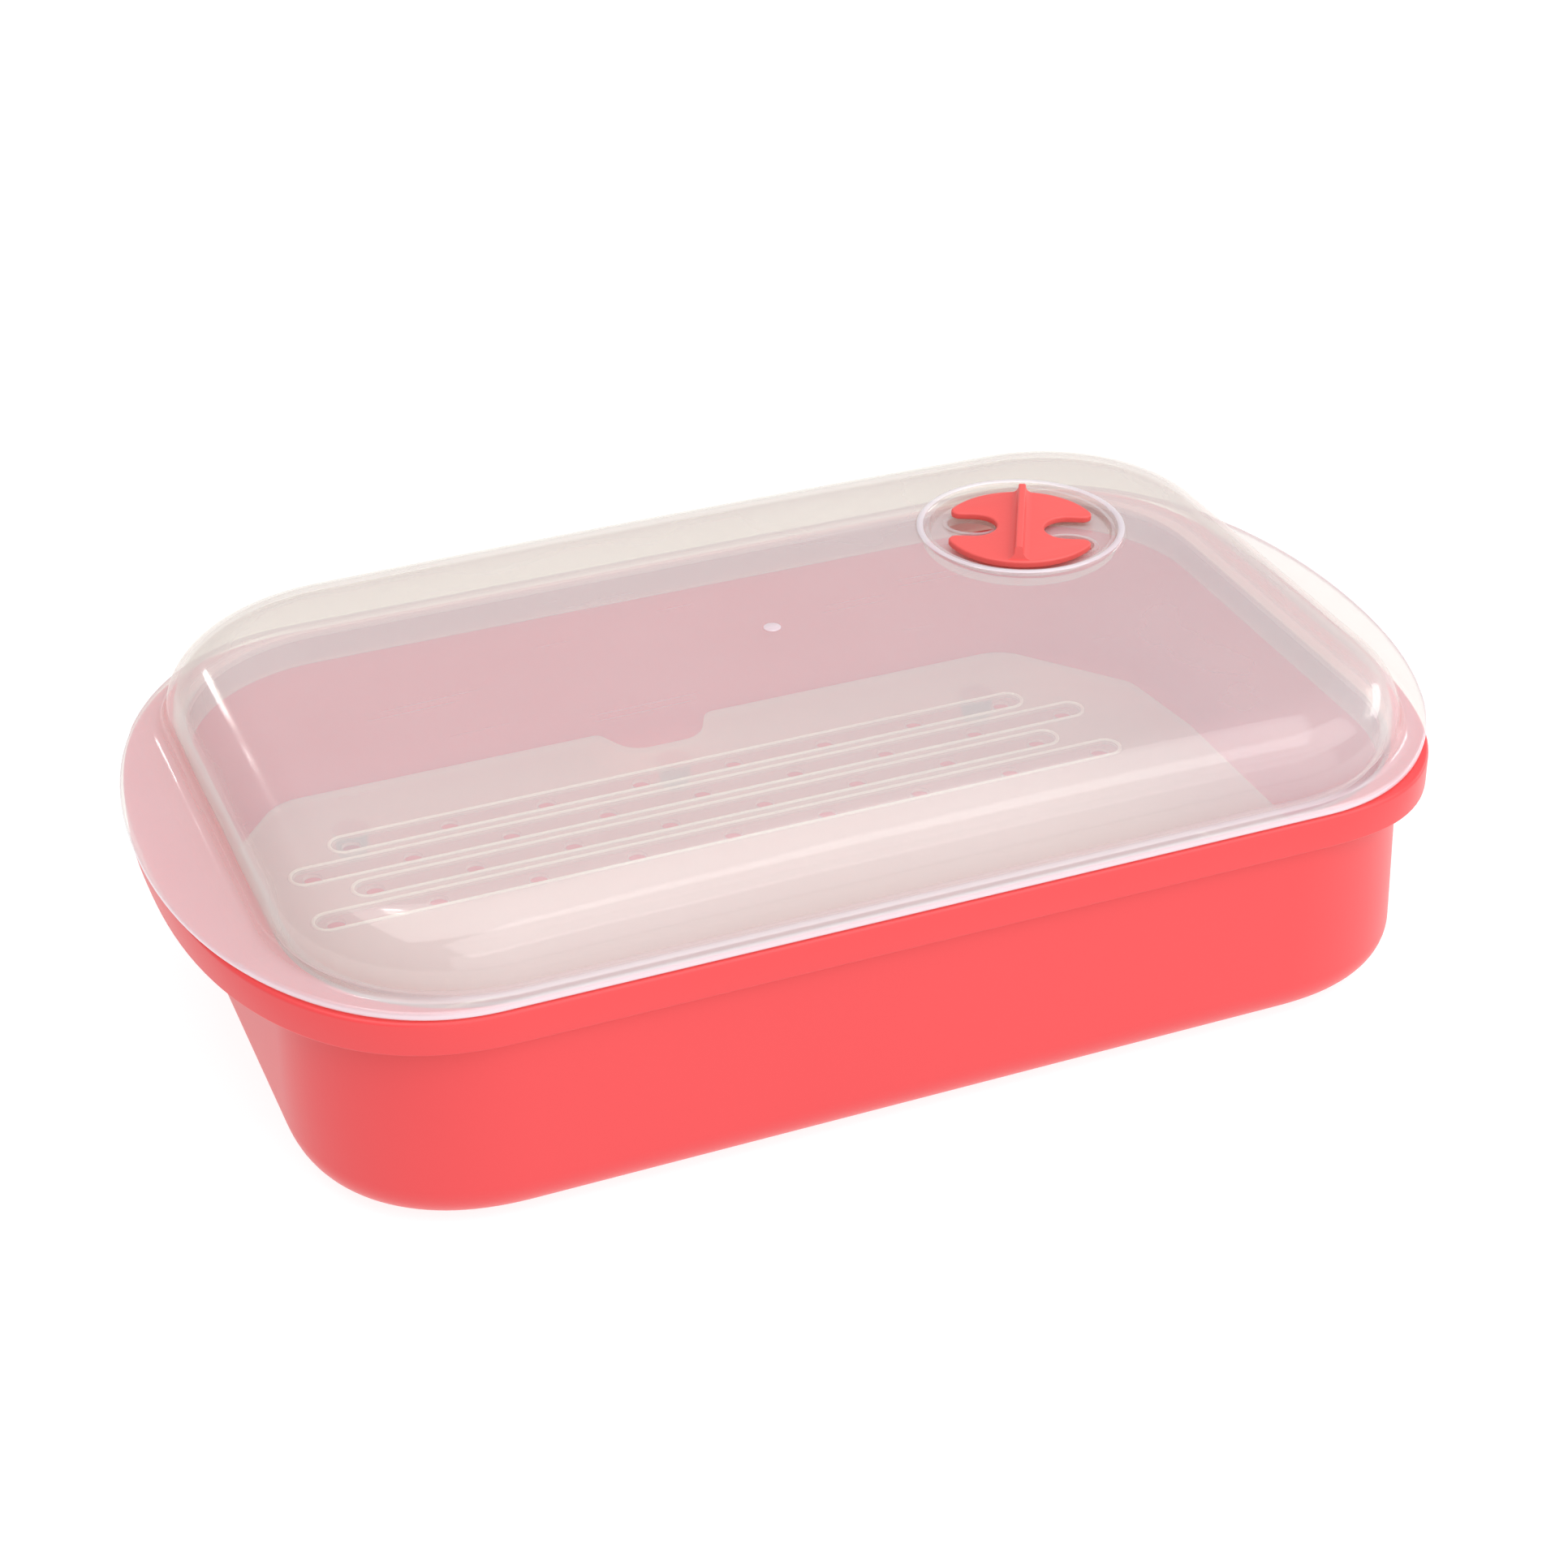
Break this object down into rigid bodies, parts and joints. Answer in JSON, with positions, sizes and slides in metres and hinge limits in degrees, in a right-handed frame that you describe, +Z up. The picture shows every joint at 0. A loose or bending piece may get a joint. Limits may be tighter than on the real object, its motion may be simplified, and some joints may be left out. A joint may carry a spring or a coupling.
{
  "type": "microwave steam cooker",
  "caption": "Rectangular plastic microwave steam cooker: coral container with bowed ears, milky domed lid with a rotary steam valve, and a lift-out perforated steam tray.",
  "frame": {"origin": "middle of the container's flat base, on the surface it stands on", "axes": "+X along the length towards the end the valve is nearer, +Y across the width towards the long side the valve is nearer, +Z up through the lid"},
  "size_m": [0.29, 0.1672, 0.0761],
  "materials": {
    "coral_pp": "satin injection-moulded polypropylene, coral red",
    "milky_pp": "milky translucent polypropylene, glossy outside",
    "coral_pp_valve": "satin injection-moulded polypropylene, coral red",
    "natural_pp": "natural translucent polypropylene, satin"
  },
  "bodies": {
    "container": {"container": "coral_pp"},
    "lid": {"lid": "milky_pp"},
    "valve": {"vent_valve": "coral_pp_valve"},
    "tray": {"steam_tray": "natural_pp"}
  },
  "joints": [
    {"name": "lid_lift", "type": "slide", "parent": "container", "child": "lid", "axis": [0, 0, 1], "range_m": [0, 0.12]},
    {"name": "valve_turn", "type": "hinge", "parent": "lid", "child": "valve", "pos_m": [0.0733, 0.0299, 0.0715], "axis": [0, 0, 1], "range_deg": [-20.5, 69.5]},
    {"name": "tray_lift", "type": "slide", "parent": "container", "child": "tray", "axis": [0, 0, 1], "range_m": [0, 0.034]}
  ]
}
